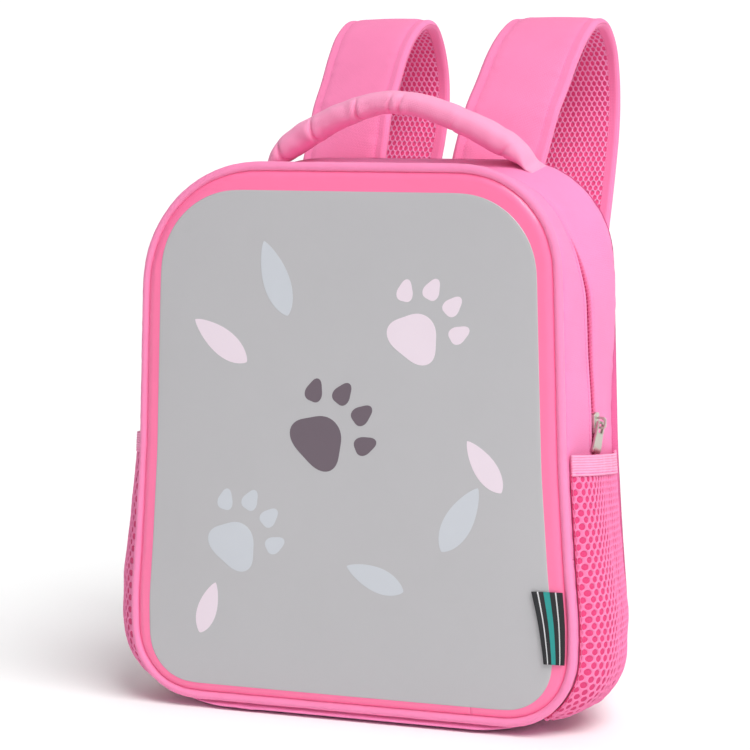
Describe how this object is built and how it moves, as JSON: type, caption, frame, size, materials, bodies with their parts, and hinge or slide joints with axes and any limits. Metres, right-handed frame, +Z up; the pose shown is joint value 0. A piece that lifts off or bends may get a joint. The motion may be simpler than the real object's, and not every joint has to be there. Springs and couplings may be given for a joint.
{
  "type": "child's backpack",
  "caption": "Small upright backpack with a printed front panel, piped edge, zipped gusset, mesh side pockets, carrying handle and padded shoulder straps.",
  "frame": {"origin": "on the floor under the middle of the bag, halfway between its front and back seams", "axes": "+Z up, -Y out of the printed front, +X to the right of a person who looks at the front"},
  "size_m": [0.3042, 0.2522, 0.3994],
  "materials": {
    "cloth": "plain pink polyester weave",
    "front_band": "glossy coated pink cloth",
    "print": "grey printed film with a soft gloss",
    "piping": "smooth pink binding over a cord",
    "net": "open knitted pink net",
    "elastic": "ribbed pink elastic",
    "webbing": "woven pink webbing",
    "zip_coil": "pink nylon coil on a woven tape",
    "adjuster": "moulded pink plastic",
    "metal": "satin nickel",
    "label": "dark woven tape with plain stripes"
  },
  "bodies": {
    "bag": {"front_panel": "front_band", "print_panel": "print", "front_piping": "piping", "gusset_front": "cloth", "gusset_back": "cloth", "base_gusset": "cloth", "back_panel": "cloth", "zip_chain": "zip_coil", "zip_slider": "metal", "pocket_right": "net", "pocket_left": "net", "pocket_band_right": "elastic", "pocket_band_left": "elastic", "handle": "cloth", "strap_right": "cloth", "strap_left": "cloth", "webbing_right": "webbing", "webbing_left": "webbing", "strap_adjuster_right": "adjuster", "strap_adjuster_left": "adjuster", "side_label": "label"},
    "puller": {"zip_puller": "metal"}
  },
  "joints": [
    {"name": "puller_swing", "type": "hinge", "parent": "bag", "child": "puller", "pos_m": [0.13349, 0, 0.1705], "axis": [0, -1, 0], "range_deg": [0, 150]}
  ]
}
